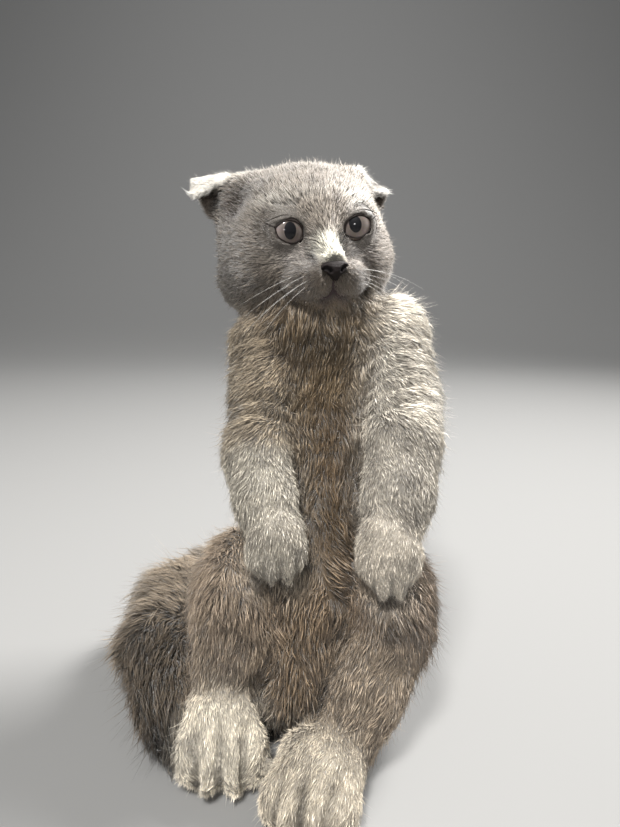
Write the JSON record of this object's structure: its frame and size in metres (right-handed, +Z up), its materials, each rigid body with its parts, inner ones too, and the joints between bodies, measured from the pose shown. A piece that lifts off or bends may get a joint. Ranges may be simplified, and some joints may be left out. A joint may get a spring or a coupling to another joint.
{
  "type": "scottish fold cat",
  "caption": "Young Scottish fold cat with folded ears, sitting up and leaning back, front paws hanging before its belly and tail curled round its side.",
  "frame": {"origin": "under the middle of the bounding box, on the floor that the cat sits on", "axes": "+Z up, -Y the way the body faces, +X the cat's left"},
  "size_m": [0.1494, 0.1822, 0.2366],
  "materials": {
    "coat": "short dense plush fur, grey with a warm taupe cast and lighter tips",
    "paw_coat": "short fur, paler grey-beige",
    "tail_coat": "longer fur, darker brown-grey",
    "nose_leather": "bare dark grey-brown skin, a little moist",
    "lid_skin": "thin bare dark skin round the eye",
    "eye": "polished ball with a grey-beige iris and a large dark pupil"
  },
  "bodies": {
    "root": {"head": "coat", "whisker_pad_right": "coat", "whisker_pad_left": "coat", "lower_jaw": "coat", "ear_right": "coat", "ear_left": "coat", "neck": "coat", "chest": "coat", "belly": "coat", "rump": "coat", "upper_arm_right": "coat", "upper_arm_left": "coat", "forearm_right": "coat", "forearm_left": "coat", "thigh_right": "coat", "thigh_left": "coat", "shank_right": "coat", "shank_left": "coat", "nose": "nose_leather", "eye_left": "eye", "eye_right": "eye", "lid_upper_left": "lid_skin", "lid_lower_left": "lid_skin", "lid_upper_right": "lid_skin", "lid_lower_right": "lid_skin", "front_paw_right": "paw_coat", "front_paw_left": "paw_coat", "hind_paw_right": "paw_coat", "hind_paw_left": "paw_coat", "tail_1": "tail_coat", "tail_2": "tail_coat", "tail_3": "tail_coat", "tail_4": "tail_coat"}
  },
  "joints": []
}
